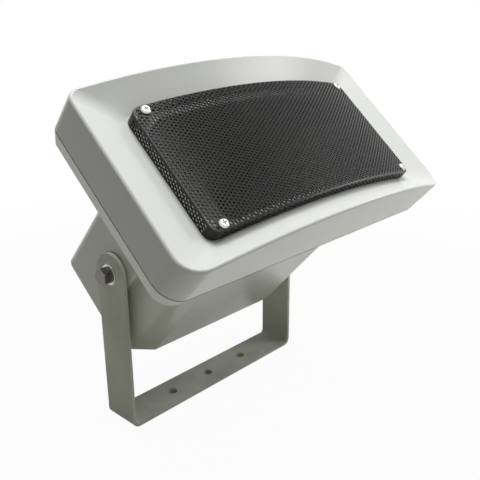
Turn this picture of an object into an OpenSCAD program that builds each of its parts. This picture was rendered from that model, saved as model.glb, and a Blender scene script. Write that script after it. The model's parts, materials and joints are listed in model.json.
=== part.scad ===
// Horn speaker on a U bracket: a curved, framed mouth behind a perforated
// grille, a boxy rear housing with the driver and line transformer inside,
// and two pivot bolts that clamp the head in the bracket at any tilt.
// The bracket's strip stands on the ground plane. X is the width, -Y the
// side that the mouth faces, Z is up.

/* [Mouth and front frame] */
// Width of the front frame
mouth_width = 310; // [290:1:330]
// Height of the front frame
mouth_height = 150; // [142:1:160]
// Radius of the front frame's lower corners
mouth_corner = 18; // [14:1:24]
// Radius of the front frame's upper corners
top_corner = 9; // [8:1:14]
// How far the middle of the front bows out past its ends
front_bulge = 22; // [12:1:26]
// Depth of the frame's skirt, from the front corners to the joint
skirt_depth = 30; // [26:1:36]
// Wall thickness of the front frame
frame_wall = 3; // [2.5:0.1:3.5]
// Rounding of the frame's front edge
edge_round = 4; // [2:0.5:6]
// Depth from the front edge down to the ledge that the grille sits on
recess_depth = 14.5; // [13:0.5:16]
// Rise of the tapered fit between the frame's facets and its rim
rim_land = 1; // [0.5:0.1:2]

/* [Grille] */
// Width of the grille pan
grille_width = 240; // [236:1:250]
// Height of the grille pan
grille_height = 106; // [104:1:110]
// Corner radius of the grille pan
grille_corner = 8; // [6:1:10]
// How far the grille and the horn's mouth sit below the frame's middle
grille_drop = 1; // [0:0.5:3]
// Sheet thickness of the grille
grille_sheet = 1; // [0.8:0.1:1.5]
// How far the grille's face lies below the frame's front edge
grille_sink = 5.5; // [4:0.1:7]
// Gap between the grille pan's wall and the frame's facets
grille_gap = 0.8; // [0.5:0.1:1.5]
// Diameter of the grille's holes
mesh_hole = 6.4; // [4:0.1:7]
// Columns of holes across the grille
mesh_columns = 17; // [9:2:19]
// Rows of holes up the grille
mesh_rows = 7; // [3:2:7]
// Distance between columns of holes
mesh_pitch = 12.6; // [10:0.1:12.8]
// Distance between rows of holes
mesh_rise = 12.6; // [10:0.1:12.8]
// Distance of a grille screw from the pan's ends
screw_in_x = 9; // [8:0.5:10]
// Distance of a grille screw from the pan's top and bottom
screw_in_z = 5; // [5:0.5:7]

/* [Rear housing] */
// Thickness of the rubber ring in the joint
gasket_thick = 1; // [0.8:0.1:1.5]
// How far the rubber ring lies inside the outer faces
gasket_inset = 1.2; // [1:0.1:1.6]
// Width of the rubber ring
gasket_width = 3; // [2:0.5:4]
// Depth of the housing's tapered flange behind the joint
flange_depth = 14; // [12:1:18]
// How far the flange tapers in on each side
flange_taper = 4; // [2:0.5:6]
// Wall thickness of the housing
housing_wall = 3; // [2.5:0.1:3.5]
// Distance from the front corners to the housing's back
housing_back = 190; // [184:1:205]
// Depth of the recesses for the case screws' heads
case_recess = 5; // [4:0.5:6]
// Distance of the four corner case screws from the housing's outer faces
case_screw_in = 17; // [16:0.5:18]
// Distance of the two middle case screws from the top and bottom faces
case_screw_edge = 11; // [10.5:0.5:13]
// Length of the case screws
case_screw_length = 22; // [16:1:26]
// Width of the housing over its two pivot pads
pad_width = 202; // [190:1:214]
// How far the pivot pads stand out of the housing's sides
pad_step = 4; // [2:0.5:5]
// Height of the pads' lower edge above the mouth's middle
pad_edge = -14; // [-18:1:-12]
// Height of the housing's top above the mouth's middle
box_rise = 51; // [47:1:55]
// Depth of the housing's bottom below the mouth's middle
box_drop = 57; // [54:1:60]
// Radius of the housing's upper long edges
box_corner = 8; // [5:1:12]
// Width of the slanted facet along each lower edge
facet_width = 24; // [16:1:28]
// Height of the slanted facet along each lower edge
facet_height = 11; // [8:1:14]
// Rounding of the housing's back edges
back_round = 4; // [2:0.5:6]
// Length of the slope between the flange and the box
shoulder = 6; // [4:1:10]

/* [Bracket and pivot] */
// Width of the bracket's steel strip
strip_width = 35; // [30:1:40]
// Thickness of the steel strip
strip_thick = 3; // [2.5:0.5:4]
// Inner radius of the bracket's bends
bend_radius = 4; // [2:0.5:8]
// Height of the pivot above the ground
pivot_height = 138; // [130:1:160]
// Distance of the pivot behind the front corners
pivot_back = 137; // [130:1:142]
// Height of the pivot above the mouth's middle
pivot_rise = 3; // [0:0.5:8]
// Upward tilt of the head as it stands
tilt = 48; // [0:1:60]
// Diameter of the pivot bolts' shanks
bolt_diameter = 8; // [6:0.5:10]
// Radial clearance of a pivot bolt in the bracket
bolt_clearance = 0.08; // [0.02:0.01:0.1]
// Width of a bolt head across its flats
bolt_flats = 13; // [10:0.5:17]
// Height of a bolt head
bolt_head = 5.5; // [4:0.1:7]
// Thickness of the flat washers
washer_thick = 1.8; // [1.2:0.1:2.5]
// Outer diameter of the flat washers
washer_diameter = 17; // [15:0.5:24]
// Thickness of the spring washers
spring_thick = 2.4; // [1.6:0.1:3]
// Outer diameter of the spring washers
spring_diameter = 14; // [12.5:0.5:16]
// Thickness of the rubber washers between the bracket and the pads
spacer_thick = 1; // [0.6:0.1:2]
// Outer diameter of the rubber washers
spacer_diameter = 20; // [16:1:26]
// Diameter of the mounting holes in the bracket's base
base_hole = 9; // [6:0.5:11]
// Distance between the mounting holes
base_pitch = 46; // [30:1:60]

/* [Horn] */
// Width of the horn's mouth
horn_width = 228; // [216:1:232]
// Height of the horn's mouth
horn_height = 90; // [80:1:92]
// Corner radius of the horn's mouth
horn_corner = 21; // [20:1:28]
// Wall thickness of the horn
horn_wall = 2.5; // [2:0.1:3]
// Gap between the frame's ledge and the horn's rim
horn_gap = 0.1; // [0.1:0.05:0.3]
// Thickness of the horn's mouth rim
rim_thick = 2.6; // [2:0.1:3.5]
// Depth of the throat flange's back behind the front corners
throat_back = 118; // [112:1:122]
// Diameter of the horn's throat
throat_diameter = 26; // [20:1:30]
// Thickness of the throat flange
throat_flange = 6; // [5:0.5:8]

/* [Driver] */
// Diameter of the driver's magnet
magnet_diameter = 90; // [80:1:96]
// Thickness of the magnet ring
magnet_thick = 16; // [12:1:18]
// Diameter of the hole through the magnet ring
magnet_bore = 52; // [46:1:56]
// Thickness of the driver's front plate
front_plate = 8; // [6:0.5:10]
// Thickness of the driver's top plate
top_plate = 6; // [4:0.5:7]
// Diameter of the driver's pole
pole_diameter = 36; // [33:0.5:38]
// Radial width of the gap that the voice coil moves in
coil_gap = 1.6; // [1.4:0.1:2]
// Wall of the voice coil
coil_wall = 0.6; // [0.4:0.1:0.8]
// Length of the voice coil
coil_length = 11; // [9:0.5:14]
// Height of the diaphragm's dome
dome_height = 9; // [6:0.5:12]
// Depth of the driver's back cover
cover_depth = 22; // [18:1:26]
// Diameter of the circle of driver screws
driver_circle = 76; // [70:1:78]
// Thickness of the driver's paper gasket
driver_gasket_thick = 1; // [0.6:0.1:1.5]

/* [Line transformer and wiring] */
// Width of the transformer's core
core_width = 42; // [36:1:44]
// Height of the transformer's core
core_height = 36; // [30:1:40]
// Stack thickness of the transformer's core
core_stack = 18; // [14:1:20]
// Width of the two windows in the transformer's core
core_window = 9; // [7:0.5:10]
// How far the winding stands out of the core on each side
coil_side = 7; // [5:0.5:8]
// Thickness of the transformer's strap
strap_thick = 1.2; // [0.8:0.1:1.6]
// Length of each of the strap's feet
strap_foot = 9; // [8:0.5:10]
// Width of the terminal block
block_width = 30; // [24:1:34]
// Diameter of the cable that the gland takes
gland_bore = 7; // [5:0.5:8]
// Width of the gland's hexagons across their flats
gland_flats = 19; // [17:0.5:22]
// Diameter of the gland's thread
gland_thread = 15; // [12:0.5:16]

/* [Hidden] */

$fn = 64;
// A cutter reaches this far past the faces that it cuts
over = 1;
// Points along a corner and along a long edge of a lofted outline
corner_steps = 6;
edge_steps = 16;
// Sides of a wire
wire_sides = 10;
// Run of the slope between a pad and the side below it
pad_slope = 2;
// Diametral play of a screw in a hole or of a piece in its seat
play = 0.2;

half_width = mouth_width / 2;
half_height = mouth_height / 2;
bulge_radius = (half_width * half_width + front_bulge * front_bulge) / (2 * front_bulge);
bulge_centre = bulge_radius - front_bulge;
grille_floor = recess_depth - play / 2;
ledge_back = recess_depth + frame_wall;
joint_back = skirt_depth + gasket_thick;
flange_back = joint_back + flange_depth;
box_front = flange_back + shoulder;
pad_half = pad_width / 2;
side_half = pad_half - pad_step;
bracket_inner = pad_half + spacer_thick;
bracket_outer = bracket_inner + strip_thick;
horn_front = ledge_back + horn_gap;
rim_back = horn_front + rim_thick;
screw_x = grille_width / 2 - screw_in_x;
screw_z = grille_height / 2 - screw_in_z;
screw_angle = asin(screw_x / bulge_radius);

// Outlines

// Quarter ellipse of a corner, or its chord where flat is 1
function corner(x, z, rx, rz, from, flat) = [
    for (i = [0 : corner_steps])
    let (a = from + 90 * i / corner_steps, k = i / corner_steps,
        arc = [rx * cos(a), rz * sin(a)],
        chord = (1 - k) * [rx * cos(from), rz * sin(from)]
            + k * [rx * cos(from + 90), rz * sin(from + 90)])
    [x, z] + (1 - flat) * arc + flat * chord];

// Right half of an outline from below to above: the lower corner, the pad's
// step on the side and the upper corner
function right_side(low, high, bottom, step, top, foot, radius, flat) = concat(
    corner(low - foot[0], bottom + foot[1], foot[0], foot[1], -90, flat),
    [[low, step - pad_slope / 2], [high, step + pad_slope / 2]],
    corner(high - radius, top - radius, radius, radius, 0, 0));

// Whole outline, anticlockwise seen from the mouth, with points along the
// long edges so that it can follow the front's curve
function outline(low, high, bottom, step, top, foot, radius, flat) =
    let (right = right_side(low, high, bottom, step, top, foot, radius, flat),
        last = len(right) - 1,
        span = 2 * right[last][0], base = 2 * right[0][0])
    concat(right,
        [for (i = [1 : edge_steps - 1]) [span / 2 - span * i / edge_steps, top]],
        [for (i = [last : -1 : 0]) [-right[i][0], right[i][1]]],
        [for (i = [1 : edge_steps - 1]) [-base / 2 + base * i / edge_steps, bottom]]);

// Rounded rectangle about a middle height
function frame_outline(half_w, half_h, radius, middle = 0) =
    outline(half_w, half_w, middle - half_h, middle, middle + half_h,
        [radius, radius], radius, 0);

// Outline of the front frame drawn in by a distance, with its side points at a
// height, so that they can line up with the pads' lower edge
function rim_outline(inset, level = 0) =
    let (half_w = half_width - inset, half_h = half_height - inset,
        foot = max(mouth_corner - inset, 1))
    outline(half_w, half_w, -half_h, level, half_h, [foot, foot],
        max(top_corner - inset, 1), 0);

// Outline of the box shaped part of the housing, drawn in by a distance
function box_outline(inset) =
    outline(side_half - inset, pad_half - inset, -box_drop + inset, pad_edge,
        box_rise - inset, [facet_width, facet_height],
        max(box_corner - inset, 1), 1);

// Depth of the bowed front at a place across it, sunk in by a distance
function front_depth(x, sink) =
    bulge_centre - sqrt(pow(bulge_radius - sink, 2) - x * x);

// An outline laid on the bowed front, or on a flat plane at a depth
function on_bow(shape, sink) = [for (p = shape) [p[0], front_depth(p[0], sink), p[1]]];
function on_plane(shape, depth) = [for (p = shape) [p[0], depth, p[1]]];

// Middle of an outline's points
function middle_of(loop) = [for (p = loop) 1] * loop / len(loop);

// Skin over a row of outlines, whose outside ones run backwards. A closed
// skin joins the last to the first, and an open one has a fan at each end.
module loft(loops, closed) {
    size = len(loops[0]);
    count = len(loops);
    first = count * size;
    walls = [for (j = [0 : count - (closed ? 1 : 2)]) for (i = [0 : size - 1])
        let (a = j * size + i, b = j * size + (i + 1) % size,
            next = ((j + 1) % count) * size,
            c = next + (i + 1) % size, d = next + i)
        each [[a, b, c], [a, c, d]]];
    caps = closed ? [] : [for (i = [0 : size - 1])
        let (a = i, b = (i + 1) % size, end = (count - 1) * size)
        each [[b, a, first], [end + a, end + b, first + 1]]];
    middles = closed ? [] : [middle_of(loops[0]), middle_of(loops[count - 1])];
    polyhedron(concat([for (l = loops) each l], middles), concat(walls, caps));
}

// Frames of reference

// Children drawn about the front corners' plane and the mouth's middle,
// set at the head's tilt on the pivot
module head() {
    translate([0, 0, pivot_height]) rotate([-tilt, 0, 0])
        translate([0, -pivot_back, -pivot_rise]) children();
}

// Children drawn along the inward normal of the bowed front
module on_front(angle, z, sink) {
    translate([0, bulge_centre, z]) rotate([0, 0, angle])
        translate([0, -(bulge_radius - sink), 0]) rotate([-90, 0, 0]) children();
}

// Children drawn about the axis of the horn and driver, z running backwards
module on_axis(depth) {
    translate([0, depth, -grille_drop]) rotate([-90, 0, 0]) children();
}

// The four corners of the grille
module at_grille_screws(sink) {
    for (side = [-1, 1]) for (level = [-1, 1])
        on_front(side * screw_angle, level * screw_z - grille_drop, sink) children();
}

// The six screws that join the housing to the frame
case_screw_x = half_width - case_screw_in;
case_screw_z = half_height - case_screw_in;
case_screw_top = half_height - case_screw_edge;
case_screw_places = [[-case_screw_x, -case_screw_z], [case_screw_x, -case_screw_z],
    [-case_screw_x, case_screw_z], [case_screw_x, case_screw_z],
    [0, case_screw_top], [0, -case_screw_top]];
module at_place(p, depth) {
    translate([p[0], depth, p[1]]) rotate([-90, 0, 0]) children();
}
module at_case_screws(depth) {
    for (p = case_screw_places) at_place(p, depth) children();
}

// Slab between two sinks of the bowed front, cut to a rounded rectangle
module bowed_slab(half_w, half_h, radius, sink, back) {
    intersection() {
        translate([0, bulge_centre, -grille_drop - half_h - over])
        linear_extrude(2 * half_h + 2 * over) intersection() {
            difference() {
                circle(bulge_radius - sink, $fn = 360);
                circle(bulge_radius - back, $fn = 360);
            }
            translate([-half_w - over, -bulge_radius - over])
                square([2 * half_w + 2 * over, bulge_radius]);
        }
        translate([0, -front_bulge - over, -grille_drop]) rotate([-90, 0, 0])
        linear_extrude(front_bulge + back + skirt_depth) rounded(half_w, half_h, radius);
    }
}

// Rounded rectangle of squares and circles
module rounded(half_w, half_h, radius) {
    square([2 * (half_w - radius), 2 * half_h], center = true);
    square([2 * half_w, 2 * (half_h - radius)], center = true);
    for (x = [-1, 1]) for (y = [-1, 1])
        translate([x * (half_w - radius), y * (half_h - radius)]) circle(radius);
}

// A ring or disc from its bore and outer radius
module ring(inner, outer, height) {
    difference() {
        cylinder(r = outer, h = height);
        translate([0, 0, -over]) cylinder(r = inner, h = height + 2 * over);
    }
}

// A pan head screw along z, its head's underside at the origin
module pan_screw(radius, head_radius, head_height, length) {
    difference() {
        rotate_extrude() polygon([[0, -head_height], [head_radius * 0.7, -head_height],
            [head_radius, -head_height * 0.45], [head_radius, 0], [radius, 0],
            [radius, length - radius], [radius * 0.4, length], [0, length]]);
        for (turn = [0, 90]) rotate([0, 0, turn])
            translate([-head_radius * 0.55, -head_radius * 0.12, -head_height - over])
                cube([head_radius * 1.1, head_radius * 0.24, head_height * 0.6 + over]);
    }
}

// Round outline about a point of a wire, square to the way it runs there
function wire_loop(point, run, radius) = let (
        along = run / norm(run),
        side = cross(along, abs(along[2]) < 0.8 ? [0, 0, 1] : [1, 0, 0]),
        right = side / norm(side),
        up = cross(right, along))
    [for (i = [0 : wire_sides - 1]) let (a = 360 * i / wire_sides)
        point + radius * (cos(a) * right + sin(a) * up)];

// A wire through a row of points
module wire_run(points, radius) {
    last = len(points) - 1;
    loft([for (i = [0 : last]) wire_loop(points[i],
        points[min(i + 1, last)] - points[max(i - 1, 0)], radius)], false);
}

// Front frame

frame_boss = 3.4;
screw_radius = 1.9;
screw_hole = screw_radius + play / 2;
case_boss = 4.5;
case_hole_depth = 20;
standoff_top = grille_sink + grille_sheet + play / 4;
facet_half_w = grille_width / 2 + grille_gap;
facet_half_h = grille_height / 2 + grille_gap;

module front_frame() {
    color([0.87, 0.88, 0.85]) head() difference() {
        union() {
            frame_shell();
            // Standoffs under the grille's corners
            at_grille_screws(standoff_top)
                cylinder(r = frame_boss, h = recess_depth - standoff_top + over);
            // Bosses for the case screws, from within the facets to the joint
            for (p = case_screw_places) let (start = facet_depth(p) + 1)
                at_place(p, start) cylinder(r = case_boss, h = skirt_depth - start);
        }
        at_grille_screws(grille_sink)
            cylinder(r = screw_hole, h = ledge_back + over);
        for (p = case_screw_places)
            at_place(p, skirt_depth - case_hole_depth)
                cylinder(r = screw_hole, h = case_hole_depth + over);
    }
}

// Depth of the facets' face where it lies furthest back over a boss
function facet_depth(p) = let (
        from_side = half_width - edge_round - rim_land - (abs(p[0]) - case_boss),
        from_edge = half_height - edge_round - rim_land - (abs(p[1]) - case_boss),
        share = min(from_side / (half_width - edge_round - rim_land - facet_half_w),
            from_edge / (half_height - edge_round - rim_land - facet_half_h), 1))
    front_depth(max(abs(p[0]) - case_boss, 0), recess_depth * share);

module frame_shell() {
    loft([
        on_plane(rim_outline(frame_wall), skirt_depth),
        on_bow(rim_outline(frame_wall), edge_round + frame_wall * 0.6),
        on_bow(facet_outline, ledge_back),
        on_bow(mouth_outline, ledge_back),
        on_bow(mouth_outline, recess_depth),
        on_bow(facet_outline, recess_depth),
        on_bow(rim_outline(edge_round + rim_land), 0.1),
        on_bow(rim_outline(edge_round), 0),
        on_bow(rim_outline(edge_round * 0.5), edge_round * 0.12),
        on_bow(rim_outline(edge_round * 0.12), edge_round * 0.5),
        on_bow(rim_outline(0), edge_round),
        on_plane(rim_outline(0), skirt_depth)
    ], true);
}

// Foot of the facets, and the opening that the horn's mouth fills
facet_outline = frame_outline(facet_half_w, facet_half_h, grille_corner + grille_gap,
    -grille_drop);
mouth_outline = frame_outline(horn_width / 2, horn_height / 2, horn_corner, -grille_drop);

module joint_gasket() {
    outer = rim_outline(gasket_inset);
    inner = rim_outline(gasket_inset + gasket_width);
    color([0.12, 0.12, 0.12]) head() loft([on_plane(outer, skirt_depth),
        on_plane(outer, joint_back), on_plane(inner, joint_back),
        on_plane(inner, skirt_depth)], true);
}

// Rear housing

case_head_depth = flange_back - case_recess;
case_boss_outer = 5.5;
case_head_radius = 3.8;
case_head_height = 2.6;

module rear_housing() {
    color([0.80, 0.81, 0.78]) head() difference() {
        union() {
            housing_shell();
            at_case_screws(joint_back) cylinder(r = case_boss_outer, h = flange_depth);
            inner_seats();
        }
        inner_seat_holes();
        at_case_screws(joint_back - over) cylinder(r = screw_hole, h = flange_depth + shoulder);
        at_case_screws(case_head_depth)
            cylinder(r = case_head_radius + 2 * play, h = case_recess + shoulder + over);
        for (side = [-1, 1]) translate([side * (side_half - housing_wall - over), pivot_back,
                pivot_rise])
            rotate([0, side * 90, 0]) cylinder(r = insert_radius + play / 2,
                h = pad_step + housing_wall + 2 * over);
        at_gland(housing_back - housing_wall - over)
            cylinder(d = gland_thread + play, h = housing_wall + 2 * over);
    }
}

module housing_shell() {
    wall = housing_wall;
    fillet = 2;
    box_back_in = housing_back - wall;
    loft([
        on_plane(box_outline(wall + back_round * 0.7), box_back_in),
        on_plane(box_outline(wall), box_back_in - back_round),
        on_plane(box_outline(wall), box_front - wall),
        on_plane(rim_outline(flange_taper + wall, pad_edge), flange_back - wall),
        on_plane(rim_outline(wall, pad_edge), joint_back),
        on_plane(rim_outline(0, pad_edge), joint_back),
        on_plane(rim_outline(flange_taper, pad_edge), flange_back - fillet),
        on_plane(rim_outline(flange_taper + fillet, pad_edge), flange_back),
        on_plane(box_outline(0), box_front),
        on_plane(box_outline(0), housing_back - back_round),
        on_plane(box_outline(back_round * 0.3), housing_back - back_round * 0.3),
        on_plane(box_outline(back_round), housing_back)
    ], false);
}

module case_screws() {
    color([0.75, 0.75, 0.76]) head() at_case_screws(case_head_depth)
        mirror([0, 0, 1])
            pan_screw(screw_radius, case_head_radius, case_head_height, case_screw_length);
}

// Grille

module grille() {
    half_w = grille_width / 2;
    half_h = grille_height / 2;
    color([0.10, 0.10, 0.11]) head() difference() {
        bowed_slab(half_w, half_h, grille_corner, grille_sink, grille_floor);
        bowed_slab(half_w - grille_sheet, half_h - grille_sheet, grille_corner - grille_sheet,
            grille_sink + grille_sheet, ledge_back + over);
        at_grille_screws(0) cylinder(r = screw_hole, h = recess_depth);
        mesh_holes();
    }
}

// Staggered holes over the grille's face, clear of its rim and its screws
module mesh_holes() {
    step = mesh_pitch / bulge_radius * 180 / PI;
    for (i = [0 : mesh_columns - 1]) {
        shift = i % 2 == 0 ? 0 : mesh_rise / 2;
        rows = i % 2 == 0 ? mesh_rows : mesh_rows - 1;
        for (j = [0 : rows - 1])
            on_front((i - (mesh_columns - 1) / 2) * step,
                    (j - (mesh_rows - 1) / 2) * mesh_rise + shift - grille_drop, 0)
                cylinder(d = mesh_hole, h = recess_depth - over, $fn = 24);
    }
}

module grille_screws() {
    color([0.80, 0.80, 0.81]) head() at_grille_screws(grille_sink)
        pan_screw(screw_radius, 3.6, 2.2, rim_back - grille_sink + horn_hold);
}

// Horn

horn_steps = 8;
throat_front = throat_back - throat_flange;
horn_ear = 4.5;
ear_height = 5;
// How far a grille screw reaches past the horn's rim
horn_hold = 2.5;

// Share of the mouth's width left at a share of the way to the throat
function flare_w(t) = throat_diameter / 2
    + (horn_width - throat_diameter) / 2 * pow(1 - t, 1.7);
function flare_h(t) = throat_diameter / 2
    + (horn_height - throat_diameter) / 2 * pow(1 - t, 1.3);
function flare_r(t) = (1 - t) * horn_corner + t * throat_diameter * 0.45;

// An outline of the horn, part way from the bowed mouth to the flat throat
function horn_loop(t, wall) = let (
        shape = frame_outline(flare_w(t) + wall, flare_h(t) + wall,
            min(flare_r(t) + wall, flare_h(t) + wall - 0.6), -grille_drop))
    [for (p = shape) [p[0], (1 - t) * front_depth(p[0], horn_front) + t * throat_front, p[1]]];

module horn() {
    rim = frame_outline(grille_width / 2 - 2, grille_height / 2 - 2, grille_corner,
        -grille_drop);
    color([0.32, 0.33, 0.32]) head() difference() {
        union() {
            loft(concat(
                [on_bow(rim, horn_front), on_bow(rim, rim_back)],
                [for (i = [0 : horn_steps]) let (p = horn_loop(i / horn_steps, horn_wall))
                    i == 0 ? [for (q = p) q + [0, rim_thick, 0]] : p],
                [for (i = [horn_steps : -1 : 0]) horn_loop(i / horn_steps, 0)]
            ), true);
            on_axis(throat_front) ring(throat_diameter / 2, magnet_diameter / 2 - 2,
                throat_flange);
            at_grille_screws(rim_back - over) cylinder(r = horn_ear, h = ear_height + over);
        }
        at_grille_screws(recess_depth) cylinder(r = screw_hole,
            h = rim_back - recess_depth + ear_height + over);
        at_driver_screws(throat_front - over)
            cylinder(r = screw_hole, h = throat_flange + 2 * over);
    }
}

// Driver

gasket_back = throat_back + driver_gasket_thick;
yoke_back = gasket_back + front_plate;
magnet_back = yoke_back + magnet_thick;
plate_back = magnet_back + top_plate;
pole_radius = pole_diameter / 2;
plate_bore = pole_radius + coil_gap;
coil_radius = pole_radius + coil_gap / 2 - coil_wall / 2;
driver_radius = magnet_diameter / 2;
throat_radius = throat_diameter / 2;
dome_seat = 4;
// How far the diaphragm's clamped edge reaches past the top plate's bore
diaphragm_reach = 9;
diaphragm_edge = 3;

module at_driver_screws(depth) {
    on_axis(depth) for (i = [0 : 3]) rotate([0, 0, 45 + 90 * i])
        translate([driver_circle / 2, 0, 0]) children();
}

module driver_gasket() {
    color([0.25, 0.22, 0.18]) head() difference() {
        on_axis(throat_back) ring(throat_radius, driver_radius - 2, driver_gasket_thick);
        at_driver_screws(throat_back - over)
            cylinder(r = screw_hole, h = driver_gasket_thick + 2 * over);
    }
}

// Front plate and hollow pole in one piece, with a bore that widens backwards
module driver_yoke() {
    wide = throat_radius * 1.25;
    pole_length = front_plate + magnet_thick + top_plate;
    color([0.55, 0.56, 0.57]) head() difference() {
        on_axis(gasket_back) rotate_extrude() polygon([
            [throat_radius, 0], [driver_radius, 0], [driver_radius, front_plate],
            [pole_radius, front_plate], [pole_radius, pole_length], [wide, pole_length],
            [throat_radius, front_plate]]);
        at_driver_screws(gasket_back - over) cylinder(r = screw_hole, h = front_plate);
    }
}

module magnet() {
    color([0.16, 0.16, 0.17]) head() on_axis(yoke_back)
        ring(magnet_bore / 2, driver_radius, magnet_thick);
}

module top_plate() {
    color([0.58, 0.59, 0.60]) head() on_axis(magnet_back)
        ring(plate_bore, driver_radius, top_plate);
}

// Bullet that stands on three thin legs in the pole's bore
module phase_plug() {
    bullet = throat_radius * 0.62;
    length = magnet_thick;
    wide = throat_radius * 1.25;
    color([0.20, 0.20, 0.21]) head() on_axis(plate_back - length) {
        rotate_extrude() polygon([[0, -8], [bullet * 0.5, -4], [bullet, 6],
            [bullet * 1.15, length], [0, length]]);
        intersection() {
            for (i = [0 : 2]) rotate([0, 0, 120 * i]) translate([0, -0.8, length - 8])
                cube([wide, 1.6, 8]);
            cylinder(r1 = throat_radius * 1.02, r2 = wide - play / 4, h = length);
        }
    }
}

module voice_coil() {
    color([0.72, 0.42, 0.22]) head() on_axis(plate_back + dome_seat - coil_length)
        ring(coil_radius, coil_radius + coil_wall, coil_length);
}

// Dome with a rolled surround, clamped at its edge by the back cover
module diaphragm() {
    outer = plate_bore + diaphragm_reach;
    sheet = 0.5;
    roll = 3;
    mid = (coil_radius + coil_wall + outer - diaphragm_edge) / 2;
    dome_radius = (coil_radius * coil_radius + dome_height * dome_height) / (2 * dome_height);
    color([0.62, 0.60, 0.56]) head() {
        on_axis(plate_back + dome_seat) {
            rotate_extrude() difference() {
                intersection() {
                    translate([0, dome_height - dome_radius]) circle(dome_radius, $fn = 128);
                    square([coil_radius + coil_wall, dome_height + over]);
                }
                translate([0, dome_height - dome_radius]) circle(dome_radius - sheet, $fn = 128);
            }
            ring(coil_radius - 0.4, outer, sheet);
        }
        on_axis(plate_back) ring(outer - diaphragm_edge, outer, dome_seat);
        on_axis(plate_back + dome_seat + sheet / 2) rotate_extrude() translate([mid, 0])
            difference() {
                circle(roll / 2 + sheet, $fn = 32);
                circle(roll / 2, $fn = 32);
                translate([-roll, -2 * roll]) square([2 * roll, 2 * roll]);
            }
    }
}

module back_cover() {
    wall = 2.5;
    seat = plate_bore + diaphragm_reach + play;
    color([0.20, 0.20, 0.21]) head() on_axis(plate_back) rotate_extrude() polygon([
        [seat, 0], [driver_radius, 0], [driver_radius, 8], [driver_radius - 7, cover_depth],
        [0, cover_depth], [0, cover_depth - wall], [driver_radius - 9, cover_depth - wall],
        [seat + 2, 8], [seat, 6]]);
}

module driver_screws() {
    color([0.70, 0.70, 0.71]) head() at_driver_screws(throat_front)
        pan_screw(screw_radius, 3.4, 2.2, throat_flange + driver_gasket_thick + 5);
}

// Line transformer, on a raised seat of the housing's floor beside the driver

transformer_x = 58;
transformer_y = 150;
inner_floor = -box_drop + housing_wall;
seat_height = 4;
seat_top = inner_floor + seat_height;
core_leg = (core_width - 2 * core_window) / 3;
window_offset = (core_leg + core_window) / 2 * 1.25;
coil_half = core_stack / 2 + coil_side;
coil_base = seat_top + core_leg + play;
strap_width = core_stack * 0.7;
strap_reach = core_width / 2 + play + strap_thick;
strap_hole = strap_reach + strap_foot / 2;
inner_screw_length = strap_thick + seat_height + 1;

module at_transformer() {
    translate([transformer_x, transformer_y, seat_top]) children();
}

module transformer_core() {
    color([0.36, 0.35, 0.34]) head() at_transformer() difference() {
        translate([-core_stack / 2, -core_width / 2, 0])
            cube([core_stack, core_width, core_height]);
        for (side = [-1, 1]) translate([-core_stack / 2 - over,
                side * window_offset - core_window / 2, core_leg])
            cube([core_stack + 2 * over, core_window, core_height - 2 * core_leg]);
    }
}

// Taped winding around the core's middle leg
module transformer_coil() {
    reach = window_offset + core_window / 2 - play;
    hole = window_offset - core_window / 2 + play;
    height = core_height - 2 * core_leg - 2 * play;
    color([0.75, 0.66, 0.30]) head() translate([transformer_x, transformer_y, coil_base])
        difference() {
            translate([-coil_half, -reach, 0]) cube([2 * coil_half, 2 * reach, height]);
            translate([-core_stack / 2 - play, -hole, -over])
                cube([core_stack + 2 * play, 2 * hole, height + 2 * over]);
        }
}

// Folded strap over the core, with a foot at each end
module transformer_strap() {
    top = core_height + play + strap_thick;
    color([0.70, 0.71, 0.72]) head() at_transformer() difference() {
        translate([-strap_width / 2, 0, 0]) rotate([90, 0, 90]) linear_extrude(strap_width)
            difference() {
                union() {
                    translate([-strap_reach, 0]) square([2 * strap_reach, top]);
                    translate([-strap_reach - strap_foot, 0])
                        square([2 * strap_reach + 2 * strap_foot, strap_thick]);
                }
                translate([-strap_reach + strap_thick, -over])
                    square([2 * strap_reach - 2 * strap_thick, top - strap_thick + over]);
            }
        at_strap_holes() translate([0, 0, -over])
            cylinder(r = screw_hole, h = strap_thick + 2 * over);
    }
}

module at_strap_holes() {
    for (side = [-1, 1]) translate([0, side * strap_hole, 0]) children();
}

// The four screws that hold the transformer and the terminal block
module inner_screws() {
    color([0.75, 0.75, 0.76]) head() {
        at_transformer() at_strap_holes() inner_screw();
        at_block() at_ears() inner_screw();
    }
}

module inner_screw() {
    translate([0, 0, strap_thick]) mirror([0, 0, 1])
        pan_screw(screw_radius, 3.4, 2, inner_screw_length);
}

// Seats on the housing's floor, with blind holes for the inner screws
module inner_seats() {
    at_transformer() translate([-strap_width / 2 - 1, -strap_hole - strap_foot / 2,
            -seat_height - over])
        cube([strap_width + 2, 2 * strap_hole + strap_foot, seat_height + over]);
    at_block() translate([-block_width / 2 - block_ear, -block_depth / 2, -seat_height - over])
        cube([block_width + 2 * block_ear, block_depth, seat_height + over]);
}

module inner_seat_holes() {
    depth = inner_screw_length - strap_thick + play;
    at_transformer() at_strap_holes() translate([0, 0, -depth])
        cylinder(r = screw_hole, h = depth + over);
    at_block() at_ears() translate([0, 0, -depth]) cylinder(r = screw_hole, h = depth + over);
}

// Terminal block and wires

block_x = -45;
block_y = 140;
block_height = 13;
block_depth = 17;
block_ear = 8;
block_wire = 4;
terminal_depth = 7;
terminal_radius = 2.5;
wire_radius = 0.8;

module at_block() {
    translate([block_x, block_y, seat_top]) children();
}

module at_ears() {
    for (side = [-1, 1]) translate([side * (block_width + block_ear) / 2, 0, 0]) children();
}

module at_terminals() {
    for (side = [-1, 0, 1]) translate([side * block_width / 3, 0, 0]) children();
}

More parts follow.
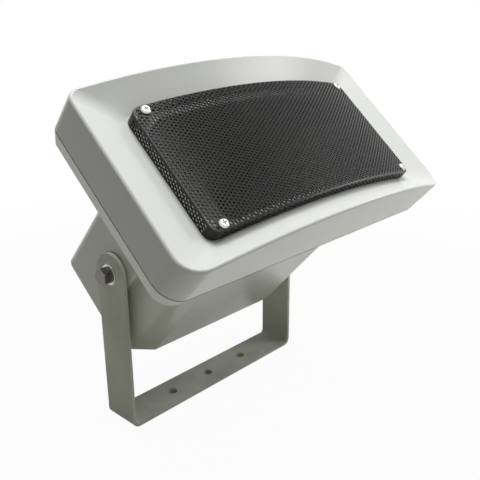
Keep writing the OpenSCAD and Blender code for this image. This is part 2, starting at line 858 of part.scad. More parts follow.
module terminal_block() {
    color([0.85, 0.84, 0.78]) head() at_block() difference() {
        union() {
            translate([-block_width / 2, -block_depth / 2, 0])
                cube([block_width, block_depth, block_height]);
            translate([-block_width / 2 - block_ear, -block_depth / 2, 0])
                cube([block_width + 2 * block_ear, block_depth, strap_thick]);
        }
        at_terminals() translate([0, 0, block_height - terminal_depth])
            cylinder(r = terminal_radius + play / 2, h = terminal_depth + over);
        at_terminals() translate([0, -block_depth / 2 - over, block_wire]) rotate([-90, 0, 0])
            cylinder(r = 1.4, h = block_depth + 2 * over, $fn = 24);
        at_ears() translate([0, 0, -over]) cylinder(r = screw_hole, h = strap_thick + 2 * over);
    }
}

module terminal_screws() {
    color([0.78, 0.72, 0.48]) head() at_block() at_terminals()
        translate([0, 0, block_height - terminal_depth + play]) difference() {
            cylinder(r = terminal_radius, h = 4);
            translate([-3, -0.4, 2.6]) cube([6, 0.8, 2]);
        }
}

// From the block's outer ways, under the horn's throat, to the winding
lead_straight = 26;
lead_turn = 40;
lead_margin = 20;

module line_leads() {
    lead_z = seat_top + block_wire;
    lead_y = block_y - lead_turn;
    end_x = transformer_x - coil_half - wire_radius - 0.1;
    color([0.70, 0.12, 0.10]) head() for (side = [-1, 1]) {
        x = block_x + side * block_width / 3;
        low_z = lead_z + 4 + 2 * side;
        end_z = coil_base + 6 + 4 * side;
        wire_run([[x, block_y - block_depth / 2 + 4, lead_z],
            [x, block_y - lead_straight, lead_z], [x + lead_margin, lead_y, low_z],
            [transformer_x - lead_margin, lead_y, low_z],
            [end_x - 2, transformer_y - 15, end_z], [end_x, transformer_y - 2, end_z]],
            wire_radius);
    }
}

// From the winding's outer side, over the core, to the driver's edge
module driver_leads() {
    start_x = transformer_x + coil_half + wire_radius + 0.1;
    end_y = plate_back + 4;
    color([0.15, 0.15, 0.16]) head() for (side = [-1, 1])
        wire_run([[start_x, transformer_y + 3 * side, coil_base + 6],
            [start_x, transformer_y + 3 * side, seat_top + core_height],
            [driver_radius + 14, end_y + 2.4 * side, seat_top + core_height + 7],
            [driver_radius + 6, end_y + 2.4 * side, 2 - grille_drop],
            [driver_radius + 0.2, end_y + 2.4 * side, -grille_drop]], wire_radius);
}

// Cable gland, low on the housing's back

gland_x = -52;
gland_z = -26;
module at_gland(depth) {
    translate([gland_x, depth, gland_z]) rotate([-90, 0, 0]) children();
}

gland_hex = 5;
gland_stem = 8;
gland_spigot = 9;

module hexagon(flats, height) {
    cylinder(d = flats / cos(30), h = height, $fn = 6);
}

module gland_body() {
    bore = gland_bore / 2 + 2;
    color([0.70, 0.71, 0.69]) head() at_gland(housing_back) difference() {
        union() {
            hexagon(gland_flats, gland_hex);
            translate([0, 0, -gland_stem - housing_wall]) cylinder(d = gland_thread,
                h = gland_stem + housing_wall + over);
            cylinder(d = gland_thread, h = gland_hex + gland_spigot);
        }
        translate([0, 0, -gland_stem - housing_wall - over])
            cylinder(r = bore, h = gland_stem + housing_wall + gland_hex + gland_spigot + 2 * over);
    }
}

module gland_seal() {
    bore = gland_bore / 2;
    color([0.10, 0.10, 0.10]) head() at_gland(housing_back)
        ring(bore, bore + 2 - play / 2, gland_hex + gland_spigot);
}

module gland_nut() {
    top = 5;
    color([0.70, 0.71, 0.69]) head() at_gland(housing_back + gland_hex) difference() {
        union() {
            hexagon(gland_flats, gland_spigot);
            cylinder(r1 = gland_flats / 2, r2 = gland_flats / 2, h = gland_spigot);
            translate([0, 0, gland_spigot]) cylinder(r1 = gland_flats / 2,
                r2 = gland_bore / 2 + 3, h = top);
        }
        translate([0, 0, -over]) cylinder(d = gland_thread + play, h = gland_spigot + over);
        cylinder(r = gland_bore / 2 + 0.5, h = gland_spigot + top + over);
    }
}

module gland_locknut() {
    color([0.70, 0.71, 0.69]) head() at_gland(housing_back - housing_wall - 4) difference() {
        hexagon(gland_flats, 4);
        translate([0, 0, -over]) cylinder(d = gland_thread + play, h = 4 + 2 * over);
    }
}

// Bracket and pivot, the left one at -X

bolt_radius = bolt_diameter / 2;
insert_radius = bolt_radius + 1.8;
insert_reach = 14;

module bracket() {
    arm = strip_width;
    bend_outer = bend_radius + strip_thick;
    color([0.52, 0.53, 0.49]) difference() {
        union() {
            translate([-bracket_outer + bend_outer, -arm / 2, 0])
                cube([2 * (bracket_outer - bend_outer), arm, strip_thick]);
            for (side = [-1, 1]) {
                translate([side > 0 ? bracket_inner : -bracket_outer, -arm / 2, bend_outer])
                    cube([strip_thick, arm, pivot_height - bend_outer]);
                translate([side > 0 ? bracket_inner : -bracket_outer, 0, pivot_height])
                    rotate([0, 90, 0]) cylinder(d = arm, h = strip_thick, $fn = 128);
                translate([side * (bracket_outer - bend_outer), arm / 2, bend_outer])
                    rotate([90, 0, 0]) linear_extrude(arm) intersection() {
                        difference() {
                            circle(bend_outer);
                            circle(bend_radius);
                        }
                        translate([side > 0 ? 0 : -bend_outer, -bend_outer])
                            square([bend_outer, bend_outer]);
                    }
            }
        }
        for (i = [-1, 0, 1]) translate([i * base_pitch, 0, -over])
            cylinder(d = base_hole, h = strip_thick + 2 * over);
        for (side = [-1, 1]) translate([side > 0 ? bracket_inner - over : -bracket_outer - over,
                0, pivot_height])
            rotate([0, 90, 0]) cylinder(r = bolt_radius + bolt_clearance,
                h = strip_thick + 2 * over);
    }
}

// Children drawn along the pivot axis, z running outwards on one side
module on_pivot(side, x) {
    translate([side * x, 0, pivot_height]) rotate([0, side * 90, 0]) children();
}

// A ring along the pivot axis
module pivot_ring(side, x, inner, outer, height) {
    on_pivot(side, x) ring(inner, outer, height);
}

module pivot_insert(side) {
    color([0.74, 0.64, 0.36]) on_pivot(side, pad_half) difference() {
        union() {
            translate([0, 0, -insert_reach]) cylinder(r = insert_radius, h = insert_reach);
            translate([0, 0, -housing_wall - 2.5]) cylinder(r = insert_radius + 3, h = 2.5);
        }
        translate([0, 0, -insert_reach - over])
            cylinder(r = bolt_radius + play / 4, h = insert_reach + 2 * over);
    }
}

module pivot_bolt(side) {
    seat = bracket_outer + washer_thick + spring_thick;
    length = seat - pad_half + insert_reach - 2;
    color([0.72, 0.71, 0.68]) on_pivot(side, seat) {
        translate([0, 0, -length]) cylinder(r = bolt_radius, h = length + over);
        intersection() {
            hexagon(bolt_flats, bolt_head);
            cylinder(r1 = bolt_flats, r2 = bolt_flats * 0.49, h = bolt_head * 1.02);
        }
    }
}

module spring_washer(side) {
    gap = 1.6;
    color([0.66, 0.65, 0.62]) on_pivot(side, bracket_outer + washer_thick) difference() {
        ring(bolt_radius + play, spring_diameter / 2, spring_thick);
        rotate([0, 0, 200]) translate([0, -gap / 2, -over])
            rotate([20, 0, 0]) cube([spring_diameter, gap, spring_thick * 3]);
    }
}

module flat_washer(side) {
    color([0.78, 0.77, 0.75])
        pivot_ring(side, bracket_outer, bolt_radius + play, washer_diameter / 2, washer_thick);
}

module rubber_washer(side) {
    color([0.08, 0.08, 0.08])
        pivot_ring(side, pad_half, bolt_radius + play, spacer_diameter / 2, spacer_thick);
}

module pivot_insert_left() { pivot_insert(-1); }
module pivot_insert_right() { pivot_insert(1); }
module pivot_bolt_left() { pivot_bolt(-1); }
module pivot_bolt_right() { pivot_bolt(1); }
module spring_washer_left() { spring_washer(-1); }
module spring_washer_right() { spring_washer(1); }
module flat_washer_left() { flat_washer(-1); }
module flat_washer_right() { flat_washer(1); }
module rubber_washer_left() { rubber_washer(-1); }
module rubber_washer_right() { rubber_washer(1); }

front_frame();
joint_gasket();
rear_housing();
case_screws();
grille();
grille_screws();
horn();
driver_gasket();
driver_yoke();
magnet();
top_plate();
phase_plug();
voice_coil();
diaphragm();
back_cover();
driver_screws();
transformer_core();
transformer_coil();
transformer_strap();
inner_screws();
terminal_block();
terminal_screws();
line_leads();
driver_leads();
gland_body();
gland_seal();
gland_nut();
gland_locknut();
pivot_insert_left();
pivot_insert_right();
bracket();
pivot_bolt_left();
pivot_bolt_right();
spring_washer_left();
spring_washer_right();
flat_washer_left();
flat_washer_right();
rubber_washer_left();
rubber_washer_right();
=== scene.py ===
"""A horn speaker on its bracket: finishes, soft edges and a finely perforated grille."""

import json
import math

import bpy
import numpy as np
from mathutils import Matrix, Vector


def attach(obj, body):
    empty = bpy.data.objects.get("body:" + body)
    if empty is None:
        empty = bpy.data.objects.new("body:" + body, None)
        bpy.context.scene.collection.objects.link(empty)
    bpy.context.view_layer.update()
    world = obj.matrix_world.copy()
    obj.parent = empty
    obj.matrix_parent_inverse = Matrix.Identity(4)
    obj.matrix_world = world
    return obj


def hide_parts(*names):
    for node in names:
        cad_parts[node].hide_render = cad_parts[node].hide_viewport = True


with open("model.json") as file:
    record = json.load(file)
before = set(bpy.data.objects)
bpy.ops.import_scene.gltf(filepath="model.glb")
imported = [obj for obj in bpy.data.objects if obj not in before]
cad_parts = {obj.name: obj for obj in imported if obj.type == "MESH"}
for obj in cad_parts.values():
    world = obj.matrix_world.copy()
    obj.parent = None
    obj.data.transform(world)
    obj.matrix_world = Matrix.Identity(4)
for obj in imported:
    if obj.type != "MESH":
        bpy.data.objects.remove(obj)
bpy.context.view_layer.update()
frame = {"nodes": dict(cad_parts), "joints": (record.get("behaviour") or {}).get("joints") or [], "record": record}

# How the head hangs on the pivot, in metres and degrees, as the part's source gives it
TILT = 48.0
PIVOT_BACK = 0.137
PIVOT_RISE = 0.003

pivot = Vector(frame["joints"][0]["pos_m"])
head_place = (
    Matrix.Translation(pivot)
    @ Matrix.Rotation(math.radians(-TILT), 4, "X")
    @ Matrix.Translation((0, -PIVOT_BACK, -PIVOT_RISE))
)


def mesh_points(mesh):
    """The mesh's vertices as rows of an array."""
    points = np.empty(len(mesh.vertices) * 3, np.float32)
    mesh.vertices.foreach_get("co", points)
    return points.reshape(-1, 3)


def set_points(mesh, points):
    """Puts the mesh's vertices where the rows of an array say."""
    mesh.vertices.foreach_set("co", points.astype(np.float32).ravel())
    mesh.update()


def through(matrix, points):
    """Rows of points put through a matrix."""
    turn = np.array(matrix)
    return points @ turn[:3, :3].T + turn[:3, 3]


def local_box(node):
    """Lowest and highest corners of a CAD node about the mouth's middle, in the head's own frame."""
    points = through(head_place.inverted(), mesh_points(frame["nodes"][node].data))
    return points.min(axis=0), points.max(axis=0)


# The mouth is bowed to one radius, and the grille pan lies sunk behind it
mouth_low, mouth_high = local_box("front_frame")
pan_low, pan_high = local_box("grille")
half_width = mouth_high[0]
front_bulge = -mouth_low[1]
bulge_radius = (half_width ** 2 + front_bulge ** 2) / (2 * front_bulge)
bulge_centre = bulge_radius - front_bulge
pan_half_w = pan_high[0]
pan_half_h = (pan_high[2] - pan_low[2]) / 2
pan_middle = (pan_high[2] + pan_low[2]) / 2
pan_face = pan_low[1] + front_bulge
pan_foot = bulge_radius - math.hypot(bulge_centre - pan_high[1], pan_half_w)
screws_high = local_box("grille_screws")[1]

# The frame's corners and edge rounding as in the part's source, and the share of it that is kept
LOWER_CORNER = 0.018
UPPER_CORNER = 0.009
EDGE_ROUND = 0.004
RIM_LAND = 0.001
EDGE_SHARE = 0.4
EDGE_REACH = 0.0001

# Perforation of the grille's sheet
MESH_HOLE = 0.0023
MESH_PITCH = 0.0030
MESH_SIDES = 8
MESH_BORDER = 0.0001
SCREW_HEAD = 0.0036
SCREW_CLEAR = 0.0046

# Sheet and outline of the grille pan
PAN_CORNER = 0.008
SHEET = 0.0008
BEND = 0.0010
BEND_STEPS = 5
CORNER_STEPS = 8
EDGE_CUTS = 40
EDGE_POINTS = 30
# Each corner's side across and along the mouth, and the direction in degrees at which its arc starts
CORNERS = ((1, -1, -90), (1, 1, 0), (-1, 1, 90), (-1, -1, 180))

# Comparing, merging and shading, in metres and degrees
NEAR_ZERO = 1e-6
SAME_PLACE = 0.000002
FLAT_ANGLE = 0.2
SMOOTH_ANGLE = 34.0
PAN_SMOOTH_ANGLE = 40.0


# Shader helpers

def new_material(name):
    """A material with a shader joined to its output."""
    material = bpy.data.materials.new(name)
    material.use_nodes = True
    nodes = material.node_tree.nodes
    nodes.clear()
    shader = nodes.new("ShaderNodeBsdfPrincipled")
    output = nodes.new("ShaderNodeOutputMaterial")
    material.node_tree.links.new(shader.outputs[0], output.inputs["Surface"])
    return material, shader


def surface_group():
    """Grain, dust and, on the bracket's steel, painted shade of a finish: colour, roughness and a normal that
    change over the surface.
    """
    tree = bpy.data.node_groups.new("finish_grain", "ShaderNodeTree")
    sockets = tree.interface
    for name, kind in (
        ("Color", "NodeSocketColor"),
        ("Dirt Color", "NodeSocketColor"),
        ("Dirt", "NodeSocketFloat"),
        ("Roughness", "NodeSocketFloat"),
        ("Roughness Spread", "NodeSocketFloat"),
        ("Grain Scale", "NodeSocketFloat"),
        ("Grain Depth", "NodeSocketFloat"),
    ):
        sockets.new_socket(name, in_out="INPUT", socket_type=kind)
    for name, kind in (
        ("Color", "NodeSocketColor"),
        ("Roughness", "NodeSocketFloat"),
        ("Normal", "NodeSocketVector"),
    ):
        sockets.new_socket(name, in_out="OUTPUT", socket_type=kind)
    nodes = tree.nodes
    links = tree.links
    inside = nodes.new("NodeGroupInput")
    outside = nodes.new("NodeGroupOutput")
    place = nodes.new("ShaderNodeTexCoord")

    # Broad patches where dust and handling have dulled the surface, which also place the painted shade on the
    # bracket's steel
    patches = nodes.new("ShaderNodeTexNoise")
    patches.inputs["Scale"].default_value = 14.0
    patches.inputs["Detail"].default_value = 5.0
    patches.inputs["Roughness"].default_value = 0.62
    links.new(place.outputs["Object"], patches.inputs["Vector"])
    patch_range = nodes.new("ShaderNodeMapRange")
    patch_range.interpolation_type = "SMOOTHSTEP"
    patch_range.inputs["From Min"].default_value = 0.30
    patch_range.inputs["From Max"].default_value = 0.80
    links.new(patches.outputs["Fac"], patch_range.inputs["Value"])

    # Dust settles where the surface faces up, and on the bracket's steel the same darkening of upward faces is
    # painted shade
    facing = nodes.new("ShaderNodeNewGeometry")
    upward = nodes.new("ShaderNodeSeparateXYZ")
    links.new(facing.outputs["Normal"], upward.inputs["Vector"])
    up_facing = nodes.new("ShaderNodeMapRange")
    up_facing.inputs["From Min"].default_value = -0.6
    up_facing.inputs["From Max"].default_value = 1.0
    up_facing.inputs["To Min"].default_value = 0.35
    links.new(upward.outputs["Z"], up_facing.inputs["Value"])
    dust_and_shade_spots = nodes.new("ShaderNodeMath")
    dust_and_shade_spots.operation = "MULTIPLY"
    links.new(patch_range.outputs["Result"], dust_and_shade_spots.inputs[0])
    links.new(up_facing.outputs["Result"], dust_and_shade_spots.inputs[1])
    share = nodes.new("ShaderNodeMath")
    share.operation = "MULTIPLY"
    links.new(dust_and_shade_spots.outputs["Value"], share.inputs[0])
    links.new(inside.outputs["Dirt"], share.inputs[1])

    tone = nodes.new("ShaderNodeMix")
    tone.data_type = "RGBA"
    links.new(share.outputs["Value"], tone.inputs["Factor"])
    links.new(inside.outputs["Color"], tone.inputs["A"])
    links.new(inside.outputs["Dirt Color"], tone.inputs["B"])
    links.new(tone.outputs["Result"], outside.inputs["Color"])

    dull = nodes.new("ShaderNodeMath")
    dull.operation = "MULTIPLY_ADD"
    links.new(patch_range.outputs["Result"], dull.inputs[0])
    links.new(inside.outputs["Roughness Spread"], dull.inputs[1])
    links.new(inside.outputs["Roughness"], dull.inputs[2])
    links.new(dull.outputs["Value"], outside.inputs["Roughness"])

    # Fine moulded or sprayed grain
    grain = nodes.new("ShaderNodeTexNoise")
    grain.inputs["Detail"].default_value = 2.0
    links.new(place.outputs["Object"], grain.inputs["Vector"])
    links.new(inside.outputs["Grain Scale"], grain.inputs["Scale"])
    bump = nodes.new("ShaderNodeBump")
    bump.inputs["Strength"].default_value = 1.0
    links.new(grain.outputs["Fac"], bump.inputs["Height"])
    links.new(inside.outputs["Grain Depth"], bump.inputs["Distance"])
    links.new(bump.outputs["Normal"], outside.inputs["Normal"])
    return tree


finish_grain = surface_group()


# The dirt amount and colour give real dust, and on the bracket's steel painted shade
def finish(name, color, roughness, dirt=0.1, dirt_color=(0.30, 0.29, 0.26), spread=0.1,
           grain_scale=900.0, grain_depth=0.00002, metallic=0.0, specular=0.5):
    """A material whose colour, gloss and grain come from the shared group."""
    material, shader = new_material(name)
    tree = material.node_tree
    group = tree.nodes.new("ShaderNodeGroup")
    group.node_tree = finish_grain
    group.inputs["Color"].default_value = (*color, 1.0)
    group.inputs["Dirt Color"].default_value = (*dirt_color, 1.0)
    group.inputs["Dirt"].default_value = dirt
    group.inputs["Roughness"].default_value = roughness
    group.inputs["Roughness Spread"].default_value = spread
    group.inputs["Grain Scale"].default_value = grain_scale
    group.inputs["Grain Depth"].default_value = grain_depth
    tree.links.new(group.outputs["Color"], shader.inputs["Base Color"])
    tree.links.new(group.outputs["Roughness"], shader.inputs["Roughness"])
    tree.links.new(group.outputs["Normal"], shader.inputs["Normal"])
    shader.inputs["Metallic"].default_value = metallic
    shader.inputs["Specular IOR Level"].default_value = specular
    return material


# Finishes

pale_plastic = finish("pale_plastic", (0.72, 0.735, 0.71), 0.24, dirt=0.05, dirt_color=(0.55, 0.54, 0.48),
                      spread=0.03)
grey_plastic = finish("grey_plastic", (0.68, 0.69, 0.645), 0.28, dirt=0.10, dirt_color=(0.42, 0.41, 0.36),
                      spread=0.05)
black_coat = finish("black_coat", (0.010, 0.010, 0.0095), 0.24, dirt=0.05, dirt_color=(0.12, 0.12, 0.11),
                    spread=0.03, specular=0.3)
horn_plastic = finish("horn_plastic", (0.30, 0.305, 0.28), 0.45, dirt=0.15)
# The steel's heavy dark dirt is painted shade: it darkens the bracket, most of all its upward-facing base under
# the head
painted_steel = finish("painted_steel", (0.80, 0.81, 0.745), 0.45, dirt=0.50,
                       dirt_color=(0.16, 0.155, 0.135), spread=0.05, specular=0.15)
stainless = finish("stainless", (0.62, 0.61, 0.58), 0.28, dirt=0.20, dirt_color=(0.30, 0.27, 0.23),
                   metallic=1.0, grain_scale=1500.0)
weathered_bolt = finish("weathered_bolt", (0.15, 0.148, 0.135), 0.26, dirt=0.5,
                        dirt_color=(0.10, 0.085, 0.07), metallic=1.0, grain_scale=700.0,
                        grain_depth=0.00006)
plated_steel = finish("plated_steel", (0.60, 0.60, 0.60), 0.36, metallic=1.0)
brass = finish("brass", (0.70, 0.50, 0.22), 0.30, metallic=1.0)
ferrite = finish("ferrite", (0.05, 0.05, 0.055), 0.55)
lamination = finish("lamination", (0.12, 0.115, 0.11), 0.5, metallic=0.4)
winding_tape = finish("winding_tape", (0.65, 0.50, 0.10), 0.45)
enamelled_wire = finish("enamelled_wire", (0.50, 0.20, 0.08), 0.35, metallic=0.8)
phenolic_film = finish("phenolic_film", (0.42, 0.36, 0.26), 0.5)
fibre_gasket = finish("fibre_gasket", (0.12, 0.10, 0.08), 0.8)
black_rubber = finish("black_rubber", (0.025, 0.025, 0.025), 0.65, dirt=0.25)
block_nylon = finish("block_nylon", (0.70, 0.68, 0.58), 0.5)
gland_nylon = finish("gland_nylon", (0.34, 0.35, 0.32), 0.45, dirt=0.15)
red_wire = finish("red_wire", (0.40, 0.03, 0.02), 0.45)
black_wire = finish("black_wire", (0.02, 0.02, 0.02), 0.45)

SLOT_FINISHES = {
    "pale_plastic": pale_plastic,
    "grey_plastic": grey_plastic,
    "dark_plastic": horn_plastic,
    "black_coated_steel": black_coat,
    "painted_steel": painted_steel,
    "stainless": stainless,
    "plated_steel": plated_steel,
    "brass": brass,
    "ferrite": ferrite,
    "lamination": lamination,
    "winding_tape": winding_tape,
    "copper_wire": enamelled_wire,
    "diaphragm_film": phenolic_film,
    "gasket_paper": fibre_gasket,
    "black_rubber": black_rubber,
    "block_plastic": block_nylon,
    "gland_plastic": gland_nylon,
    "red_wire": red_wire,
    "black_wire": black_wire,
}

# Rubber of the joint, which the photograph shows as pale at the left end
JOINT_PALE_END = -0.150
JOINT_DARK_START = -0.130
JOINT_PALE = (0.60, 0.61, 0.57)
JOINT_DARK = (0.02, 0.02, 0.02)


def joint_rubber_finish():
    """Rubber that turns from pale to dark on the way from the left end."""
    material = finish("joint_rubber", JOINT_DARK, 0.65, dirt=0.25)
    tree = material.node_tree
    group = [n for n in tree.nodes if n.type == "GROUP"][0]
    place = tree.nodes.new("ShaderNodeTexCoord")
    split = tree.nodes.new("ShaderNodeSeparateXYZ")
    share = tree.nodes.new("ShaderNodeMapRange")
    share.inputs["From Min"].default_value = JOINT_PALE_END
    share.inputs["From Max"].default_value = JOINT_DARK_START
    tone = tree.nodes.new("ShaderNodeMix")
    tone.data_type = "RGBA"
    tone.inputs["A"].default_value = (*JOINT_PALE, 1)
    tone.inputs["B"].default_value = (*JOINT_DARK, 1)
    tree.links.new(place.outputs["Object"], split.inputs["Vector"])
    tree.links.new(split.outputs["X"], share.inputs["Value"])
    tree.links.new(share.outputs["Result"], tone.inputs["Factor"])
    tree.links.new(tone.outputs["Result"], group.inputs["Color"])
    return material


joint_rubber = joint_rubber_finish()
node_slot = {s["node"]: s["material_slot"] for s in frame["record"]["subparts"]}
for name, obj in frame["nodes"].items():
    for material_slot in obj.material_slots:
        material_slot.material = SLOT_FINISHES[node_slot[name]]


# Smooth copies of the CAD solids

def plain_mesh(obj):
    """The object's mesh with its modifiers applied, which are then removed."""
    bpy.context.view_layer.update()
    evaluated = obj.evaluated_get(bpy.context.evaluated_depsgraph_get())
    mesh = bpy.data.meshes.new_from_object(evaluated)
    obj.modifiers.clear()
    obj.data = mesh
    return obj


def smooth_shading(mesh, angle):
    """Smooth faces, with an edge kept sharp where they meet at more than the angle."""
    mesh.polygons.foreach_set("use_smooth", [True] * len(mesh.polygons))
    mesh.set_sharp_from_angle(angle=math.radians(angle))


def smooth_copy(node, body, edge=0.0, shape=None, material=None):
    """Stands for a CAD node: its merged mesh, with softened edges and even shading."""
    obj = bpy.data.objects.new(node + "_look", frame["nodes"][node].data.copy())
    bpy.context.scene.collection.objects.link(obj)
    weld = obj.modifiers.new("weld", "WELD")
    weld.merge_threshold = SAME_PLACE
    dissolve = obj.modifiers.new("dissolve", "DECIMATE")
    dissolve.decimate_type = "DISSOLVE"
    dissolve.angle_limit = math.radians(FLAT_ANGLE)
    plain_mesh(obj)
    if shape:
        shape(obj.data)
    smooth_shading(obj.data, SMOOTH_ANGLE)
    if edge > 0:
        bevel = obj.modifiers.new("soft_edges", "BEVEL")
        bevel.width = edge
        bevel.segments = 2
        bevel.limit_method = "ANGLE"
        bevel.angle_limit = math.radians(SMOOTH_ANGLE)
    weight = obj.modifiers.new("even_normals", "WEIGHTED_NORMAL")
    weight.keep_sharp = True
    plain_mesh(obj)
    obj.data.materials.clear()
    obj.data.materials.append(material or SLOT_FINISHES[node_slot[node]])
    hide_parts(node)
    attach(obj, body)
    return obj


def front_depth(x, sink):
    """Depth of the bowed front at a place across it, sunk in by a distance."""
    return bulge_centre - np.sqrt((bulge_radius - sink) ** 2 - x ** 2)


def tighten_rim(mesh):
    """Draws the rounding of the frame's front edge in to a smaller radius."""
    x, y, z = through(head_place.inverted(), mesh_points(mesh)).T
    radius = np.where(z < 0, LOWER_CORNER, UPPER_CORNER)
    past_x = np.maximum(np.abs(x) - (half_width - radius), 0)
    past_z = np.maximum(np.abs(z) - (mouth_high[2] - radius), 0)
    reach = np.hypot(past_x, past_z)
    inset = radius - reach
    sink = bulge_radius - np.hypot(x, bulge_centre - y)
    near_side = (reach > 0) & (inset < EDGE_ROUND + RIM_LAND + EDGE_REACH)
    on_edge = near_side & (sink < EDGE_ROUND + EDGE_REACH)
    grow = np.where(on_edge, (radius - EDGE_SHARE * inset) / np.maximum(reach, NEAR_ZERO), 1.0)
    new_x = x + np.sign(x) * past_x * (grow - 1)
    new_z = z + np.sign(z) * past_z * (grow - 1)
    new_y = np.where(on_edge, front_depth(new_x, EDGE_SHARE * sink), y)
    set_points(mesh, through(head_place, np.stack([new_x, new_y, new_z], axis=1)))


smooth_copy("front_frame", "head", shape=tighten_rim)
smooth_copy("rear_housing", "head")
smooth_copy("joint_gasket", "head", material=joint_rubber)
smooth_copy("horn", "head")
smooth_copy("bracket", "bracket", edge=0.0004)
for side in ("left", "right"):
    smooth_copy("pivot_bolt_" + side, "head", edge=0.0003, material=weathered_bolt)
    smooth_copy("flat_washer_" + side, "head", edge=0.0002)
    smooth_copy("spring_washer_" + side, "head", edge=0.0002, material=weathered_bolt)
    smooth_copy("rubber_washer_" + side, "head", edge=0.0001)
for node in ("grille_screws", "case_screws", "gland_body", "gland_nut"):
    smooth_copy(node, "head", edge=0.0001)


# Perforated grille pan

def math_node(nodes, links, operation, *values):
    """The result of a maths node, fed with numbers or other nodes' sockets."""
    node = nodes.new("ShaderNodeMath")
    node.operation = operation
    for socket, value in zip(node.inputs, values):
        if isinstance(value, bpy.types.NodeSocket):
            links.new(value, socket)
        else:
            socket.default_value = value
    return node.outputs[0]


def perforated_sheet_tree():
    """Flat rounded sheet with staggered holes, centred on the origin in the XY plane."""
    tree = bpy.data.node_groups.new("perforated_sheet", "GeometryNodeTree")
    sockets = tree.interface
    for name, kind, value in (
        ("Width", "NodeSocketFloat", 0.2),
        ("Height", "NodeSocketFloat", 0.1),
        ("Corner", "NodeSocketFloat", 0.005),
        ("Hole", "NodeSocketFloat", 0.002),
        ("Pitch", "NodeSocketFloat", 0.003),
        ("Sides", "NodeSocketInt", 8),
        ("Border", "NodeSocketFloat", 0.001),
        ("Screw In X", "NodeSocketFloat", 0.0),
        ("Screw In Y", "NodeSocketFloat", 0.0),
        ("Screw Clear", "NodeSocketFloat", 0.0),
        ("Thickness", "NodeSocketFloat", 0.001),
        ("Material", "NodeSocketMaterial", None),
    ):
        socket = sockets.new_socket(name, in_out="INPUT", socket_type=kind)
        if value is not None:
            socket.default_value = value
    sockets.new_socket("Geometry", in_out="OUTPUT", socket_type="NodeSocketGeometry")
    nodes = tree.nodes
    links = tree.links
    inside = nodes.new("NodeGroupInput")
    outside = nodes.new("NodeGroupOutput")
    width = inside.outputs["Width"]
    height = inside.outputs["Height"]
    pitch = inside.outputs["Pitch"]

    def calc(operation, *values):
        return math_node(nodes, links, operation, *values)

    def distance(a, b):
        return calc("SQRT", calc("ADD", calc("MULTIPLY", a, a), calc("MULTIPLY", b, b)))

    # Columns lie closer together than the holes in a column, and both fill the sheet evenly
    hole_room = calc("MULTIPLY_ADD", inside.outputs["Border"], 2.0, inside.outputs["Hole"])
    room_x = calc("SUBTRACT", width, hole_room)
    room_y = calc("SUBTRACT", height, hole_room)
    column_pair = calc("MULTIPLY", pitch, 2.0 * math.sin(math.radians(60)))
    columns = calc("MULTIPLY_ADD", calc("ROUND", calc("DIVIDE", room_x, column_pair)), 2.0, 1.0)
    rows = calc("ADD", calc("ROUND", calc("DIVIDE", room_y, pitch)), 1.0)
    row_step = calc("DIVIDE", room_y, calc("SUBTRACT", rows, 1.0))
    grid = nodes.new("GeometryNodeMeshGrid")
    links.new(room_x, grid.inputs["Size X"])
    links.new(room_y, grid.inputs["Size Y"])
    links.new(columns, grid.inputs["Vertices X"])
    links.new(rows, grid.inputs["Vertices Y"])

    # Every other column sits half a pitch higher
    index = nodes.new("GeometryNodeInputIndex").outputs["Index"]
    column = calc("FLOOR", calc("DIVIDE", calc("ADD", index, 0.5), rows))
    odd = calc("MODULO", column, 2.0)
    shift = nodes.new("ShaderNodeCombineXYZ")
    links.new(calc("MULTIPLY", calc("MULTIPLY", odd, row_step), 0.5), shift.inputs["Y"])
    stagger = nodes.new("GeometryNodeSetPosition")
    links.new(grid.outputs["Mesh"], stagger.inputs["Geometry"])
    links.new(shift.outputs["Vector"], stagger.inputs["Offset"])

    # No holes past the border, at a screw or across a rounded corner
    place = nodes.new("ShaderNodeSeparateXYZ")
    links.new(nodes.new("GeometryNodeInputPosition").outputs["Position"], place.inputs["Vector"])
    high = calc("GREATER_THAN", place.outputs["Y"], calc("MULTIPLY_ADD", room_y, 0.5, NEAR_ZERO))
    from_end = calc("SUBTRACT", calc("MULTIPLY", width, 0.5), calc("ABSOLUTE", place.outputs["X"]))
    from_edge = calc("SUBTRACT", calc("MULTIPLY", height, 0.5), calc("ABSOLUTE", place.outputs["Y"]))
    from_screw = distance(calc("SUBTRACT", from_end, inside.outputs["Screw In X"]),
                          calc("SUBTRACT", from_edge, inside.outputs["Screw In Y"]))
    at_screw = calc("LESS_THAN", from_screw, inside.outputs["Screw Clear"])
    corner = inside.outputs["Corner"]
    into_corner = distance(calc("MAXIMUM", calc("SUBTRACT", corner, from_end), 0.0),
                           calc("MAXIMUM", calc("SUBTRACT", corner, from_edge), 0.0))
    inner_corner = calc("SUBTRACT", corner, calc("MULTIPLY", hole_room, 0.5))
    past_corner = calc("GREATER_THAN", calc("SUBTRACT", into_corner, inner_corner), NEAR_ZERO)
    has_corner = calc("GREATER_THAN", corner, NEAR_ZERO)
    left_out = calc("MAXIMUM", at_screw, calc("MULTIPLY", past_corner, has_corner))
    drop = nodes.new("GeometryNodeDeleteGeometry")
    links.new(stagger.outputs["Geometry"], drop.inputs["Geometry"])
    links.new(calc("MAXIMUM", high, left_out), drop.inputs["Selection"])

    hole = nodes.new("GeometryNodeCurvePrimitiveCircle")
    links.new(inside.outputs["Sides"], hole.inputs["Resolution"])
    links.new(calc("MULTIPLY", inside.outputs["Hole"], 0.5), hole.inputs["Radius"])
    punch = nodes.new("GeometryNodeInstanceOnPoints")
    links.new(drop.outputs["Geometry"], punch.inputs["Points"])
    links.new(hole.outputs["Curve"], punch.inputs["Instance"])
    holes = nodes.new("GeometryNodeRealizeInstances")
    links.new(punch.outputs["Instances"], holes.inputs["Geometry"])

